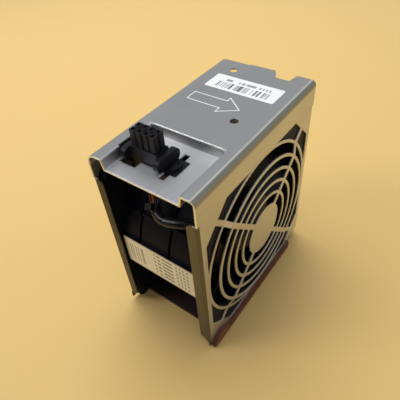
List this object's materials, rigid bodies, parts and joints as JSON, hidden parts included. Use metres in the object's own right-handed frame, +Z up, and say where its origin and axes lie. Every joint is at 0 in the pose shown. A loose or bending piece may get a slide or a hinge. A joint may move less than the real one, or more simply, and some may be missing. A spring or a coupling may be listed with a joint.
{
  "type": "server fan module",
  "caption": "Hot-plug axial fan module: black counter-rotating fan in a folded steel carrier with stamped finger guards, floating top connector and maroon grip plate.",
  "frame": {"origin": "bottom centre of the bounding box, on the underside of the grip plate", "axes": "+X along the airflow from the intake panel to the exhaust panel, +Y from the connector end to the far end, +Z up, out of the connector's mating face"},
  "size_m": [0.076, 0.124, 0.1471],
  "materials": {
    "plated_steel": "bright zinc-plated sheet, fine grain",
    "maroon_plastic": "moulded maroon plastic",
    "screw_steel": "dark plated",
    "black_plastic": "black glass-filled moulding",
    "impeller_plastic": "black satin moulding",
    "black_nylon": "black nylon moulding",
    "contact_brass": "tinned brass",
    "sleeve_film": "glossy shrink sleeve",
    "lead_insulation": "coloured wire insulation",
    "tie_nylon": "black nylon",
    "yoke_steel": "dark rolled steel",
    "magnet": "bonded magnet",
    "ground_steel": "ground bearing steel",
    "enamelled_copper": "enamelled copper wire",
    "board_laminate": "green laminate"
  },
  "bodies": {
    "carrier": {"carrier_bracket": "plated_steel", "grip_plate": "maroon_plastic", "grip_plate_screws": "screw_steel", "intake_housing": "black_plastic", "stator_housing": "black_plastic", "exhaust_housing": "black_plastic", "lead_sleeve": "sleeve_film", "front_fan_leads": "lead_insulation", "rear_fan_leads": "lead_insulation", "cable_tie": "tie_nylon", "front_bearing_outer_rings": "ground_steel", "front_preload_spring": "ground_steel", "front_stator_core": "yoke_steel", "front_windings": "enamelled_copper", "front_circuit_board": "board_laminate", "rear_bearing_outer_rings": "ground_steel", "rear_preload_spring": "ground_steel", "rear_stator_core": "yoke_steel", "rear_windings": "enamelled_copper", "rear_circuit_board": "board_laminate"},
    "front_rotor": {"front_impeller": "impeller_plastic", "front_rotor_yoke": "yoke_steel", "front_magnet_ring": "magnet", "front_shaft": "ground_steel", "front_shaft_clip": "ground_steel", "front_bearing_inner_rings": "ground_steel"},
    "rear_rotor": {"rear_impeller": "impeller_plastic", "rear_rotor_yoke": "yoke_steel", "rear_magnet_ring": "magnet", "rear_shaft": "ground_steel", "rear_shaft_clip": "ground_steel", "rear_bearing_inner_rings": "ground_steel"},
    "connector": {"connector_housing": "black_nylon", "connector_terminals": "contact_brass"}
  },
  "joints": [
    {"name": "front_rotor_spin", "type": "hinge", "parent": "carrier", "child": "front_rotor", "pos_m": [-0.02, 0.0005, 0.062], "axis": [1, 0, 0], "continuous": true},
    {"name": "rear_rotor_spin", "type": "hinge", "parent": "carrier", "child": "rear_rotor", "pos_m": [0.015, 0.0005, 0.062], "axis": [1, 0, 0], "continuous": true},
    {"name": "connector_float", "type": "slide", "parent": "carrier", "child": "connector", "axis": [1, 0, 0], "range_m": [-0.0005, 0.0005]}
  ]
}
